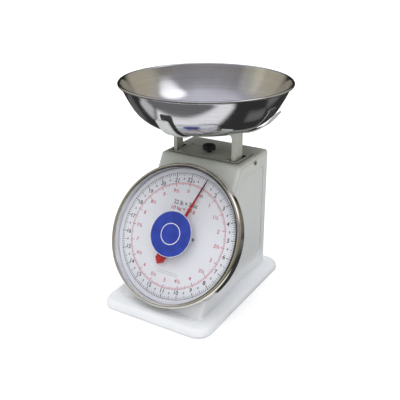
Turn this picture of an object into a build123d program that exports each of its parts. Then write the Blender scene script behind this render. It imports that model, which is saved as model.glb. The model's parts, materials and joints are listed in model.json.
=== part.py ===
from build123d import *
import math
import os

os.makedirs("parts", exist_ok=True)

# Mechanical kitchen scale: wedge housing on a flanged base, big tilted dial,
# sprung load bracket, cross-shaped bowl holder and a loose steel bowl.
# +Z is up, the dial faces -Y, millimetres. The origin is the middle of the
# overall footprint at table level.

# ---------------------------------------------------------------- base pan
BASE_W = 199.0
BASE_D = 281.2
BASE_Y = -16.8
BASE_TOP = 13.5
RIM_Z = 2.0
BASE_CORNER = 25.0
BASE_FILLET = 9.0
SHEET = 1.5

# ----------------------------------------------------------------- housing
HALF_W = 75.5
TOP_Z = 230.0
BACK_Y = 102.4
FRONT_TOP_Y = -2.5
TILT = 30.0
EDGE_R = 6.0
FOOT_OUT = 3.4
FOOT_THICK = 1.0
FOOT_ROOT_R = 2.4
PAD_Z = 232.0

# -------------------------------------------------------------------- dial
DIAL_C = (0.0, -74.6, 120.2)
FACE_OFF = -7.5
DIAL_R = 111.0
DRUM_R = 113.4
BEZEL_R = 117.4
LIP_R = 109.8
BADGE_R = 37.4
READ_DEG = 18.6

# ---------------------------------------------------------- rack and pinion
MODULE = 0.5
TEETH = 10
PINION_Z = -24.0
RACK_Z = -19.7

# ------------------------------------------------- load bracket and springs
LEG_X = 58.3
LEG_Y0 = 10.0
LEG_Y1 = 36.4
BRACKET_TOP = 281.5
LEG_BOTTOM = 124.0
LEG_THICK = 2.0
FLANGE_W = 6.2
KNOB_Y = 28.7
SPRING_X = 24.0
SPRING_GAP = 2.3
BAR_TOP = 131.0
HANGER_Z = 212.0
LINK_FRONT_Y = 14.0
LINK_REAR_Y = 86.0
LINK_DROP = 8.0
UPPER_PIN_Z = 196.0
LOWER_PIN_Z = 146.0

# ---------------------------------------------------------- holder and bowl
BOWL_Y = 17.4
BOWL_Z = 283.5
RIM_TOP = 356.0
ARM_HALF = 11.0


# Alignment for solids that stand on their base.
UPWARD = (Align.CENTER, Align.CENTER, Align.MIN)


def save(node, *solids):
    """Write one node; several separate solids become a group."""
    shape = solids[0] if len(solids) == 1 else Compound(children=list(solids))
    export_step(shape, "parts/" + node + ".step")


def one(shape):
    """The single solid of a boolean result."""
    found = shape.solids()
    return found[0] if len(found) == 1 else Compound(children=list(found))


def rod(x, y, z0, z1, r):
    """Vertical cylinder between two heights."""
    return Pos(x, y, z0) * Cylinder(r, z1 - z0, align=UPWARD)


def block(x0, x1, y0, y1, z0, z1):
    """Box between two corners."""
    return Pos(x0, y0, z0) * Box(x1 - x0, y1 - y0, z1 - z0, align=(Align.MIN, Align.MIN, Align.MIN))


def cross_rod(x0, x1, y, z, r):
    """Cylinder along X between two stations."""
    turned = Rot(0, 90, 0) * Cylinder(r, x1 - x0, align=UPWARD)
    return Pos(x0, y, z) * turned


def side_prism(points, x0, x1):
    """Extrude a closed (y, z) outline along X."""
    outline = Polyline(*[(0, y, z) for y, z in points], close=True)
    return Pos(x0, 0, 0) * extrude(make_face(outline), amount=x1 - x0, dir=(1, 0, 0))


LEAN = math.radians(TILT)
DIAL = Plane(origin=DIAL_C, x_dir=(1, 0, 0), z_dir=(0, -math.cos(LEAN), math.sin(LEAN)))


def on_dial(shape):
    """Move a shape from dial coordinates (x right, y up the dial, z out) into place."""
    return DIAL.location * shape


def disc(r, z0, z1, x=0.0, y=0.0):
    """Disc in dial coordinates."""
    return rod(x, y, z0, z1, r)


# ================================================================ base pan
def pan_body(inset, z0, z1, fillet_r):
    wide = BASE_W - 2 * inset
    deep = BASE_D - 2 * inset
    outline = RectangleRounded(wide, deep, BASE_CORNER - inset)
    body = Pos(0, BASE_Y, z0) * extrude(outline, amount=z1 - z0)
    rim = body.edges().filter_by_position(Axis.Z, z1 - 0.01, z1 + 0.01)
    return fillet(rim, fillet_r)


BASE_SCREWS = [(sx * 66.0, y) for sx in (-1, 1) for y in (-95.0, -15.0, 92.0)]
FEET = [(sx * 79.0, y) for sx in (-1, 1) for y in (-134.0, 100.0)]

pan = pan_body(0, RIM_Z, BASE_TOP, BASE_FILLET)
pan -= pan_body(SHEET, RIM_Z - 1, BASE_TOP - SHEET, BASE_FILLET - SHEET)
for x, y in BASE_SCREWS:
    pan -= rod(x, y, 0, 20, 2.1)
save("base_pan", one(pan))

feet = []
for x, y in FEET:
    pad = Pos(x, y, 0) * Cone(8.5, 10.5, 12.0, align=UPWARD)
    pad = fillet(pad.edges().group_by(Axis.Z)[0], 1.0)
    feet.append(one(pad))
save("rubber_feet", *feet)

screws = []
for x, y in BASE_SCREWS:
    head = rod(x, y, 9.6, 12.0, 3.6)
    head = fillet(head.edges().group_by(Axis.Z)[0], 0.8)
    slot = block(x - 3, x + 3, y - 0.4, y + 0.4, 9.5, 10.4)
    screws.append(one(head + rod(x, y, 11.5, 17.4, 2.0) - slot))
save("base_screws", *screws)

# ================================================================= housing
SLOPE = math.tan(LEAN)


def face_y(z):
    """Y of the sloping front's outside at a height."""
    return FRONT_TOP_Y - (TOP_Z - z) * SLOPE


def wedge(half, back, top, front_shift, z0, r):
    """Wedge block with rounded edges, its front moved back by front_shift along Y."""
    prof = [(back, z0), (back, top), (face_y(top) + front_shift, top), (face_y(z0) + front_shift, z0)]
    body = side_prism(prof, -half, half)
    keep = [e for e in body.edges() if e.center().Z > z0 + 0.5]
    return fillet(keep, r)


front_skin = SHEET / math.cos(LEAN)
outer = wedge(HALF_W, BACK_Y, TOP_Z, 0, BASE_TOP, EDGE_R)
inner = wedge(HALF_W - SHEET, BACK_Y - SHEET, TOP_Z - SHEET, front_skin, BASE_TOP + SHEET, EDGE_R - SHEET)

# Foot flange round the bottom with a soft concave root.
foot_len = BACK_Y - face_y(BASE_TOP) + 2 * FOOT_OUT
foot_mid = (BACK_Y + face_y(BASE_TOP)) / 2
foot_outline = RectangleRounded(2 * (HALF_W + FOOT_OUT), foot_len, 7.0)
foot = Pos(0, foot_mid, BASE_TOP) * extrude(foot_outline, amount=FOOT_THICK)
body = outer + foot
foot_edges = [e for e in body.edges() if abs(e.center().Z - BASE_TOP - FOOT_THICK) < 0.05]
root = [e for e in foot_edges if abs(e.center().X) < HALF_W + 0.3
        and face_y(BASE_TOP) - 0.9 < e.center().Y < BACK_Y + 0.3]
body = fillet(root, FOOT_ROOT_R)

# Raised pad on top that carries the slots, the knob and four screws.
PAD_W = 133.0
PAD_D = 62.0
PAD_Y = 34.0
PAD_CORNER = 8.0
PAD_TAPER = 20
PAD_SINK = 0.5


def pad(inset, z0, z1):
    """Tapered raised pad, or the hollow under it."""
    outline = RectangleRounded(PAD_W - 2 * inset, PAD_D - 2 * inset, PAD_CORNER - inset)
    return Pos(0, PAD_Y, z0) * extrude(outline, amount=z1 - z0, taper=PAD_TAPER)


pad_out = pad(0.0, TOP_Z - PAD_SINK, PAD_Z)
pad_in = pad(1.25, TOP_Z - 2.2, PAD_Z - SHEET)
body += pad_out


# Shallow pressed panel in each side wall.
def panel_points(grow):
    top = 205.0 + grow
    low = 36.0 - grow
    back = 84.0 + grow
    front = 27.5 - 1.2 * grow
    return [(back, low), (back, top), (face_y(top) + front, top), (face_y(low) + front, low)]


def side_panel(side, grow, x_in, x_out):
    prism = side_prism(panel_points(grow), min(side * x_in, side * x_out), max(side * x_in, side * x_out))
    corners = [e for e in prism.edges() if abs(abs(e.tangent_at(0.5).X) - 1) < 0.01]
    return fillet(corners, 9.0 + grow)


cavity = inner + pad_in
for side in (-1, 1):
    body -= side_panel(side, 0.0, HALF_W - 1.3, HALF_W + 1.0)
    cavity -= side_panel(side, 1.3, HALF_W - 2.8, HALF_W + 1.0)

# Inward lip at the bottom takes the base screws.
LIP_WIDE = 17.0
lip = block(-HALF_W + 0.2, HALF_W - 0.2, face_y(BASE_TOP) + 2.0, BACK_Y - 0.2, BASE_TOP, BASE_TOP + SHEET)
well_x = HALF_W - LIP_WIDE
well_front = face_y(BASE_TOP) + LIP_WIDE + 3.0
well = block(-well_x, well_x, well_front, BACK_Y - LIP_WIDE, BASE_TOP - 1, BASE_TOP + 4)
shell = body - cavity - well

# Round opening behind the drum, drum fixing holes, slots, screw holes.
shell -= on_dial(disc(72.0, FACE_OFF - 12, FACE_OFF + 4))
DRUM_SCREWS = [(sx * 66.0, sy * 73.6) for sx in (-1, 1) for sy in (-1, 1)]
for x, y in DRUM_SCREWS:
    shell -= on_dial(disc(2.1, FACE_OFF - 5, FACE_OFF + 3, x, y))
SLOT_IN = 50.2
SLOT_STEP = 54.6
SLOT_OUT = 61.6
SLOT_FRONT = 8.2
SLOT_BACK = 43.0
for side in (-1, 1):
    xs = sorted((side * SLOT_IN, side * SLOT_OUT))
    xl = sorted((side * SLOT_STEP, side * SLOT_OUT))
    cut = block(xs[0], xs[1], SLOT_FRONT, SLOT_FRONT + 6.0, 225, 236)
    cut += block(xl[0], xl[1], SLOT_FRONT, SLOT_BACK, 225, 236)
    upright = [e for e in cut.edges() if abs(abs(e.tangent_at(0.5).Z) - 1) < 0.01]
    shell -= fillet(upright, 1.2)
TOP_SCREWS = [(sx * 45.0, y) for sx in (-1, 1) for y in (9.7, 48.2)]
for x, y in TOP_SCREWS:
    shell -= rod(x, y, 225, 236, 2.1)
shell -= rod(0, KNOB_Y, 225, 236, 3.2)
SIDE_SCREW = (49.7, 220.2)
shell -= cross_rod(-90, -60, SIDE_SCREW[0], SIDE_SCREW[1], 2.1)
shell -= cross_rod(60, 90, SIDE_SCREW[0], SIDE_SCREW[1], 2.1)
for x, y in BASE_SCREWS:
    shell -= rod(x, y, 10, 20, 2.1)
save("housing_shell", one(shell))


def pan_head(r, high):
    """Pan head with a cross recess, underside on z = 0, pointing up."""
    head = Cylinder(r, high, align=UPWARD)
    head = fillet(head.edges().group_by(Axis.Z)[-1], high * 0.6)
    cross = Box(r * 1.1, r * 0.28, high, align=UPWARD)
    return head - Pos(0, 0, high * 0.45) * cross - Pos(0, 0, high * 0.45) * Rot(0, 0, 90) * cross


def screw(head_r, head_h, shank_r, length):
    """Screw with its head above z = 0 and its shank below."""
    shank = Pos(0, 0, -length) * Cylinder(shank_r, length + 0.2, align=UPWARD)
    return one(pan_head(head_r, head_h) + shank)


save("top_screws", *[Pos(x, y, PAD_Z) * screw(3.4, 1.8, 2.0, 7.0) for x, y in TOP_SCREWS])
side_set = []
for side in (-1, 1):
    turned = Rot(0, side * 90, 0) * screw(4.0, 2.0, 2.0, 7.0)
    side_set.append(Pos(side * HALF_W, SIDE_SCREW[0], SIDE_SCREW[1]) * turned)
save("side_screws", *side_set)

# ================================================================= chassis
# Inverted U of steel under the pad: top plate, side ears and two cheeks.
top_plate = block(-47.0, 47.0, 5.5, 60.0, 228.4, 230.4) + block(-47.0, 47.0, 58.0, 92.0, 226.4, 228.4)
ear_pts = [(40.0, 228.4), (69.5, 228.4), (73.9, 224.0), (73.9, 212.0)]
ear_pts += [(72.0, 212.0), (72.0, 223.2), (68.7, 226.4), (40.0, 226.4)]
for side in (-1, 1):
    ear_line = Polyline(*[(side * x, 44.0, z) for x, z in ear_pts], close=True)
    top_plate += extrude(make_face(ear_line), amount=11.4, dir=(0, 1, 0))
    xc = sorted((side * 45.0, side * 47.0))
    cheek = [(5.5, 229.0), (5.5, 214.0), (40.0, 212.0), (46.0, 206.0), (46.0, 122.0)]
    cheek += [(92.0, 122.0), (92.0, 227.0), (59.0, 227.0), (59.0, 229.0)]
    top_plate += side_prism(cheek, xc[0], xc[1])
top_plate += block(-45.0, 45.0, 90.2, 92.0, 160.0, 180.0)
for x, y in TOP_SCREWS:
    top_plate -= rod(x, y, 220, 236, 2.05)
top_plate -= rod(0, KNOB_Y, 220, 236, 2.56)
for x0 in (-80, 60):
    top_plate -= cross_rod(x0, x0 + 20, SIDE_SCREW[0], SIDE_SCREW[1], 2.05)
for z in (UPPER_PIN_Z - LINK_DROP, LOWER_PIN_Z - LINK_DROP):
    top_plate -= cross_rod(-50, 50, LINK_REAR_Y, z, 2.5)
top_plate -= cross_rod(-50, 50, LINK_REAR_Y - 22.0, 165.0, 9.0)
save("chassis_frame", one(top_plate))

rear_pins = [cross_rod(-49.0, 49.0, LINK_REAR_Y, z - LINK_DROP, 2.5) for z in (UPPER_PIN_Z, LOWER_PIN_Z)]
save("rear_pivot_pins", *rear_pins)
clips = []
for z in (UPPER_PIN_Z - LINK_DROP, LOWER_PIN_Z - LINK_DROP):
    for side in (-1, 1):
        x0, x1 = sorted((side * 47.1, side * 48.1))
        clip_hole = cross_rod(x0 - 1, x1 + 1, LINK_REAR_Y, z, 2.5)
        clips.append(one(cross_rod(x0, x1, LINK_REAR_Y, z, 5.0) - clip_hole))
save("pivot_clips", *clips)


# ========================================================== parallel links
def link(front_z):
    """Stamped U link: two arms, a web, round rear holes and slotted front holes."""
    rear_z = front_z - LINK_DROP
    lean = math.degrees(math.atan2(LINK_DROP, LINK_REAR_Y - LINK_FRONT_Y))
    long = math.hypot(LINK_DROP, LINK_REAR_Y - LINK_FRONT_Y)
    whole = None
    for side in (-1, 1):
        x0, x1 = sorted((side * 41.0, side * 43.0))
        arm = Pos(x0, 0, 0) * extrude(Plane.YZ * SlotCenterToCenter(long, 13.0), amount=x1 - x0)
        whole = arm if whole is None else whole + arm
    whole += Pos(0, long / 2 - 22.0, 5.4) * Box(82.0, 24.0, 2.0)
    whole -= Pos(0, long / 2, 0) * (Rot(0, 90, 0) * Cylinder(2.55, 100))
    slot = Pos(-50, -long / 2, 0) * extrude(Plane.YZ * SlotCenterToCenter(1.8, 5.24), amount=100)
    whole -= slot
    middle = Pos(0, (LINK_REAR_Y + LINK_FRONT_Y) / 2, (front_z + rear_z) / 2)
    return one(middle * Rot(-lean, 0, 0) * whole)


save("upper_link", link(UPPER_PIN_Z))
save("lower_link", link(LOWER_PIN_Z))

# ============================================================ load bracket
# Inverted U of angle strip: top and legs, with a front flange all the way round.
def u_plate(out_half, z_low, z_high, corner):
    sk = Plane.XZ * Pos(0, (z_low + z_high) / 2) * Rectangle(2 * out_half, z_high - z_low)
    solid = extrude(sk, amount=-200)
    solid = Pos(0, -60, 0) * solid
    upper = [e for e in solid.edges() if e.center().Z > z_high - 1]
    return fillet([e for e in upper if abs(abs(e.tangent_at(0.5).Y) - 1) < 0.01], corner)


u_outside = u_plate(LEG_X, LEG_BOTTOM, BRACKET_TOP, 7.0)
strip_void = u_plate(LEG_X - LEG_THICK, LEG_BOTTOM - 5, BRACKET_TOP - LEG_THICK, 5.0)
strip = (u_outside - strip_void) & block(-90, 90, LEG_Y0, LEG_Y1, 100, 300)
flange_void = u_plate(LEG_X - FLANGE_W, LEG_BOTTOM - 5, BRACKET_TOP - FLANGE_W, 8.0)
flange = (u_outside - flange_void) & block(-90, 90, LEG_Y0, LEG_Y0 + LEG_THICK, 100, 300)
bracket = strip + flange
BAR_SCREWS = [(25.0, 128.4), (34.0, 128.4)]
for y, z in BAR_SCREWS:
    bracket -= cross_rod(-90, 90, y, z, 1.55)
for z in (UPPER_PIN_Z, LOWER_PIN_Z):
    bracket -= cross_rod(-90, 90, LINK_FRONT_Y, z, 2.5)
RIVETS = [(-30.0, 17.4), (30.0, 17.4), (0.0, 28.0), (0.0, 17.0)]
for x, y in RIVETS:
    bracket -= rod(x, y, 270, 290, 2.0)
save("load_bracket", one(bracket))

pin_end = LEG_X + 1.2
carrier_pins = [cross_rod(-pin_end, pin_end, LINK_FRONT_Y, z, 2.5) for z in (UPPER_PIN_Z, LOWER_PIN_Z)]
save("carrier_pins", *carrier_pins)

# Crossbar between the legs: the springs pull on it and the rack arm starts from it.
bar_end = LEG_X - LEG_THICK
bar = block(-bar_end, bar_end, 21.0, LEG_Y1, 126.0, BAR_TOP)
for side in (-1, 1):
    bar -= rod(side * SPRING_X, KNOB_Y, 120, 140, 2.1)
    for y, z in BAR_SCREWS:
        bar -= cross_rod(min(side * 48, side * 60), max(side * 48, side * 60), y, z, 1.5)
for y in (24.5, 32.5):
    bar -= rod(4.0, y, 120, 140, 1.5)
save("load_crossbar", one(bar))
heads = []
for side in (-1, 1):
    for y, z in BAR_SCREWS:
        heads.append(Pos(side * LEG_X, y, z) * (Rot(0, side * 90, 0) * screw(2.6, 0.9, 1.5, 9.0)))
save("crossbar_screws", *heads)

rivets = []
for x, y in RIVETS:
    under = Pos(x, y, BRACKET_TOP - 2.0) * Rot(180, 0, 0) * pan_head(3.6, 1.4)
    rivets.append(one(rod(x, y, BRACKET_TOP - 2.2, BOWL_Z, 2.0) + under))
save("holder_rivets", *rivets)

# ============================================================= bowl holder
# One arm is flat, then sweeps up in one bend just outside the bowl's belly.
FLAT_R = 62.5
BEND_R = 72.5
BEND_DEG = 51.0
ARM_TIP = 15.0
THICK = 2.0


def arm_shape():
    """Strip of even thickness in the XZ plane, widened along Y."""
    full = math.radians(BEND_DEG)
    under = (FLAT_R, BRACKET_TOP + BEND_R)

    def bent(angle, gap):
        r = BEND_R - gap
        return (under[0] + r * math.sin(angle), 0, under[1] - r * math.cos(angle))

    def end(gap):
        x, _, z = bent(full, gap)
        return (x + ARM_TIP * math.cos(full), 0, z + ARM_TIP * math.sin(full))

    line = Line((0, 0, BRACKET_TOP), bent(0, 0))
    line += ThreePointArc(bent(0, 0), bent(full / 2, 0), bent(full, 0))
    line += Line(bent(full, 0), end(0)) + Line(end(0), end(THICK)) + Line(end(THICK), bent(full, THICK))
    line += ThreePointArc(bent(full, THICK), bent(full / 2, THICK), bent(0, THICK))
    line += Line(bent(0, THICK), (0, 0, BRACKET_TOP + THICK))
    line += Line((0, 0, BRACKET_TOP + THICK), (0, 0, BRACKET_TOP))
    strip_arm = extrude(make_face(line), amount=ARM_HALF, both=True)
    reach = end(0)[0] - 2.0
    tips = [e for e in strip_arm.edges() if e.center().X > reach and e.length < 3 and abs(e.center().Y) > 9]
    return fillet(tips, 3.5)


arm = arm_shape()
holder = None
for k in range(4):
    turned = Rot(0, 0, 90 * k) * arm
    holder = turned if holder is None else holder + turned
holder += Cylinder(19.0, THICK, align=UPWARD).moved(Location((0, 0, BRACKET_TOP)))
holder = Pos(0, BOWL_Y, 0) * holder
for x, y in RIVETS:
    holder -= rod(x, y, 270, 290, 2.0)
save("bowl_holder", one(holder))


# ==================================================================== bowl
def bowl_shape():
    wall = 0.9
    r0 = 58.0
    big = 70.5
    a_end = math.asin((118.0 - r0) / big)
    z_end = BOWL_Z + big * (1 - math.cos(a_end))
    a_mid = a_end / 2
    small = big - wall

    def arc_pt(rad, a):
        return (r0 + rad * math.sin(a), 0, BOWL_Z + big - rad * math.cos(a))

    top_out = (135.2, 0, 350.6)
    top_in = (134.3, 0, 350.9)
    mid_out = (127.6, 0, (z_end + 350.6) / 2 + 1.2)
    mid_in = (126.75, 0, (z_end + 350.6) / 2 + 1.5)
    prof = Line((0, 0, BOWL_Z), (r0, 0, BOWL_Z))
    prof += ThreePointArc((r0, 0, BOWL_Z), arc_pt(big, a_mid), arc_pt(big, a_end))
    prof += ThreePointArc(arc_pt(big, a_end), mid_out, top_out)
    prof += ThreePointArc(top_out, (136.4, 0, 352.6), (138.1, 0, 354.1))
    prof += ThreePointArc((138.1, 0, 354.1), (138.3, 0, 352.6), (139.6, 0, 353.3))
    prof += ThreePointArc((139.6, 0, 353.3), (139.7, 0, 355.3), (138.2, 0, RIM_TOP))
    prof += ThreePointArc((138.2, 0, RIM_TOP), (135.9, 0, 353.8), top_in)
    prof += ThreePointArc(top_in, mid_in, arc_pt(small, a_end))
    prof += ThreePointArc(arc_pt(small, a_end), arc_pt(small, a_mid), (r0, 0, BOWL_Z + wall))
    prof += Line((r0, 0, BOWL_Z + wall), (0, 0, BOWL_Z + wall))
    prof += Line((0, 0, BOWL_Z + wall), (0, 0, BOWL_Z))
    return Pos(0, BOWL_Y, 0) * revolve(make_face(prof), axis=Axis.Z)


save("mixing_bowl", one(bowl_shape()))

# ============================================================== dial drum
drum = disc(DRUM_R, FACE_OFF, 11.0) - disc(DRUM_R - 1.3, FACE_OFF + 1.3, 12.0)
drum -= block(-14.0, 18.0, -24.0, 24.0, FACE_OFF - 1, FACE_OFF + 3)
PLATE_POSTS = [(sx * 24.0, y) for sx in (-1, 1) for y in (-20.0, 14.0)]
DIAL_SCREWS = [(-31.0, 0.0), (31.0, 0.0)]
for x, y in DRUM_SCREWS:
    drum -= disc(2.1, FACE_OFF - 1, FACE_OFF + 3, x, y)
for x, y in PLATE_POSTS:
    drum -= disc(1.55, FACE_OFF - 1, FACE_OFF + 3, x, y)
for x, y in DIAL_SCREWS:
    drum -= disc(2.0, FACE_OFF - 1, FACE_OFF + 3, x, y)
save("dial_drum", one(on_dial(drum)))
drum_set = [on_dial(Pos(x, y, FACE_OFF + 1.3) * screw(3.4, 1.6, 2.0, 6.0)) for x, y in DRUM_SCREWS]
save("drum_screws", *drum_set)

plate = disc(DIAL_R, -0.8, 0.0) - disc(4.5, -2, 2)
for x, y in DIAL_SCREWS:
    plate -= disc(1.3, -2, 2, x, y)
save("dial_plate", one(on_dial(plate)))
posts = []
for x, y in DIAL_SCREWS:
    post = disc(4.0, FACE_OFF + 1.3, -0.8, x, y) + disc(1.95, FACE_OFF, FACE_OFF + 1.5, x, y)
    posts.append(one(on_dial(post - disc(1.25, -6, 0, x, y))))
save("dial_posts", *posts)
save("dial_screws", *[on_dial(Pos(x, y, 0) * screw(2.3, 1.1, 1.2, 4.5)) for x, y in DIAL_SCREWS])


# Chrome bezel: skirt, rounded nose and an inner lip that holds the lens.
def bezel_shape():
    skirt = BEZEL_R - 1.4
    nose = ThreePointArc((BEZEL_R, 0, 11.6), (BEZEL_R - 1.9, 0, 14.6), (BEZEL_R - 5.0, 0, 15.6))
    prof = Line((skirt, 0, -2.0), (BEZEL_R, 0, -2.0)) + Line((BEZEL_R, 0, -2.0), (BEZEL_R, 0, 11.6)) + nose
    prof += ThreePointArc((BEZEL_R - 5.0, 0, 15.6), (LIP_R + 0.7, 0, 15.1), (LIP_R, 0, 13.9))
    prof += Line((LIP_R, 0, 13.9), (LIP_R, 0, 13.1)) + Line((LIP_R, 0, 13.1), (BEZEL_R - 4.2, 0, 13.1))
    prof += ThreePointArc((BEZEL_R - 4.2, 0, 13.1), (BEZEL_R - 2.3, 0, 12.6), (skirt, 0, 11.0))
    prof += Line((skirt, 0, 11.0), (skirt, 0, -2.0))
    return revolve(make_face(prof), axis=Axis.Z)


bezel = bezel_shape()
save("bezel_ring", one(on_dial(bezel)))
# Drum collar: fills the step between the drum wall and the bezel skirt.
collar = disc(BEZEL_R - 1.5, 6.0, 10.9) - disc(DRUM_R + 0.05, 5, 12)
save("bezel_collar", one(on_dial(collar)))


def dome(r_edge, z_edge, z_top, thick):
    """Shallow spherical cap shell standing on a flat rim."""
    rise = z_top - z_edge
    rad = (r_edge ** 2 + rise ** 2) / (2 * rise)
    half = math.asin(r_edge / rad) / 2
    mid_pt = (rad * math.sin(half), 0, z_top - rad + rad * math.cos(half))
    inner_r = rad - thick
    low_a = math.asin(r_edge / inner_r)
    low_mid = (inner_r * math.sin(low_a / 2), 0, z_top - rad + inner_r * math.cos(low_a / 2))
    low_edge = (r_edge, 0, z_top - rad + inner_r * math.cos(low_a))
    prof = Line((0, 0, z_top - thick), (0, 0, z_top))
    prof += ThreePointArc((0, 0, z_top), mid_pt, (r_edge, 0, z_edge))
    prof += Line((r_edge, 0, z_edge), low_edge) + ThreePointArc(low_edge, low_mid, (0, 0, z_top - thick))
    return revolve(make_face(prof), axis=Axis.Z)


LENS_EDGE = LIP_R - 0.4
lens = dome(LENS_EDGE, 13.1, 21.0, 2.0)
lens += disc(BEZEL_R - 4.4, 11.1, 13.1) - disc(LENS_EDGE - 0.3, 10, 14)
save("dial_lens", one(on_dial(lens)))

badge = dome(LENS_EDGE, 13.1 + 0.35, 21.0 + 0.35, 0.3) & disc(BADGE_R, 10, 30)
save("lens_badge", one(on_dial(badge)))

# ================================================================= pointer
TURN = Rot(0, 0, -READ_DEG)
NEEDLE_Z = 7.8
half_outline = [(0.5, 104.0), (0.95, 97.0), (2.5, 34.0), (3.2, 9.0), (3.4, -9.0), (3.6, -31.0)]
half_outline += [(8.5, -38.6), (9.0, -47.2), (0.0, -55.0)]
left_side = [(-x, y) for x, y in reversed(half_outline) if x > 0]
needle_line = Polyline(*[(x, y, 0) for x, y in half_outline + left_side], close=True)
needle = extrude(make_face(needle_line), amount=0.8)
needle += Cylinder(8.0, 0.8, align=UPWARD)
needle -= Cylinder(3.0, 6.0)
save("pointer_needle", one(on_dial(TURN * Pos(0, 0, NEEDLE_Z) * needle)))
hub = disc(5.2, 4.6, NEEDLE_Z) + disc(3.0, NEEDLE_Z, 9.6) + disc(5.0, NEEDLE_Z + 0.8, 9.8)
hub -= disc(1.5, 0, 9.0)
save("pointer_hub", one(on_dial(hub)))
SHAFT_R = 1.5
shaft = disc(SHAFT_R, -40.0, 9.0)
save("pointer_shaft", one(on_dial(shaft)))


# Ten-tooth involute pinion; the rack's teeth are short so nothing undercuts.
def pinion_shape(length):
    pitch_r = MODULE * TEETH / 2
    base_r = pitch_r * math.cos(math.radians(20))
    tip_r = pitch_r + 0.45
    root_r = pitch_r - 0.42
    half_tooth = (math.pi * MODULE / 2 - 0.07) / 2 / pitch_r
    inv = math.tan(math.radians(20)) - math.radians(20)
    flank = [(root_r, half_tooth + inv)]
    for k in range(6):
        r = base_r + (tip_r - base_r) * k / 5
        a = math.acos(min(1.0, base_r / r))
        flank.append((r, half_tooth + inv - (math.tan(a) - a)))
    pts = []
    for t in range(TEETH):
        mid_a = 2 * math.pi * (t + 0.5) / TEETH
        for r, a in flank:
            pts.append((r * math.cos(mid_a - a), r * math.sin(mid_a - a), 0))
        for r, a in reversed(flank):
            pts.append((r * math.cos(mid_a + a), r * math.sin(mid_a + a), 0))
    return extrude(make_face(Polyline(*pts, close=True)), amount=length)


pinion = Pos(0, 0, PINION_Z - 7.0) * pinion_shape(14.0) - disc(SHAFT_R, -60, 20)
save("drive_pinion", one(on_dial(pinion)))


# ==================================================================== rack
def rack_shape():
    pitch_x = MODULE * TEETH / 2
    pitch = math.pi * MODULE
    slope = math.tan(math.radians(20))
    half = pitch / 4 - 0.035
    tip = 0.27
    root = 0.58
    pts = [(7.5, -9.0, 0), (pitch_x + root, -9.0, 0)]
    for k in range(-5, 14):
        c = k * pitch
        pts.append((pitch_x + root, c - half - root * slope, 0))
        pts.append((pitch_x - tip, c - half + tip * slope, 0))
        pts.append((pitch_x - tip, c + half - tip * slope, 0))
        pts.append((pitch_x + root, c + half + root * slope, 0))
    pts += [(pitch_x + root, 38.0, 0), (7.5, 38.0, 0)]
    return Pos(0, 0, RACK_Z - 1.5) * extrude(make_face(Polyline(*pts, close=True)), amount=3.0)


rack = rack_shape()
RACK_RIVETS = [(28.0, RACK_Z), (34.0, RACK_Z)]
for y, z in RACK_RIVETS:
    rack -= Pos(0, y, z) * Rot(0, 90, 0) * Cylinder(0.8, 40)
save("drive_rack", one(on_dial(rack)))
arm_pts = [(36.0, BAR_TOP), (36.0, 138.0), (20.0, 141.5), (-24.0, 150.5), (-38.0, 149.0), (-46.0, 141.0)]
arm_pts += [(-47.0, 132.0), (-41.0, 131.0), (-34.0, 139.0), (-24.0, 141.0), (10.0, 134.0), (20.0, BAR_TOP)]
rack_arm = side_prism(arm_pts, 7.5, 10.0)
rack_arm += block(0.5, 10.0, 21.2, 36.0, BAR_TOP, BAR_TOP + 2.0)
for y in (24.5, 32.5):
    rack_arm -= rod(4.0, y, 120, 136, 1.55)
for y, z in RACK_RIVETS:
    rack_arm -= on_dial(Pos(0, y, z) * Rot(0, 90, 0) * Cylinder(0.8, 40))
save("rack_arm", one(rack_arm))
pins = []
for y, z in RACK_RIVETS:
    body_pin = Pos(3.2, y, z) * Rot(0, 90, 0) * Cylinder(0.78, 7.4, align=UPWARD)
    head_pin = Pos(10.0, y, z) * Rot(0, 90, 0) * Cylinder(1.5, 0.7, align=UPWARD)
    pins.append(one(on_dial(body_pin + head_pin)))
save("rack_rivets", *pins)
save("rack_arm_screws", *[Pos(4.0, y, BAR_TOP + 2.0) * screw(2.7, 1.6, 1.5, 6.5) for y in (24.5, 32.5)])

# ========================================================= bearing plates
front_plate = block(-28.0, 28.0, -24.0, 18.0, -14.0, -12.5) - disc(SHAFT_R + 0.05, -20, 0)
rear_plate = block(-28.0, 28.0, -24.0, 18.0, -36.5, -35.0) - disc(SHAFT_R + 0.05, -40, -30)
for x, y in PLATE_POSTS:
    front_plate -= disc(1.55, -20, 0, x, y)
    rear_plate -= disc(1.55, -40, -30, x, y)
save("front_bearing_plate", one(on_dial(front_plate)))
save("rear_bearing_plate", one(on_dial(rear_plate)))
spacers = []
for x, y in PLATE_POSTS:
    for z0, z1 in ((-12.5, FACE_OFF), (-35.0, -14.0)):
        spacers.append(one(on_dial(disc(3.2, z0, z1, x, y) - disc(1.55, z0 - 1, z1 + 1, x, y))))
save("plate_spacers", *spacers)
bolts = [on_dial(Pos(x, y, -36.5) * Rot(180, 0, 0) * screw(2.8, 1.8, 1.5, 30.5)) for x, y in PLATE_POSTS]
save("plate_bolts", *bolts)

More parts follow.
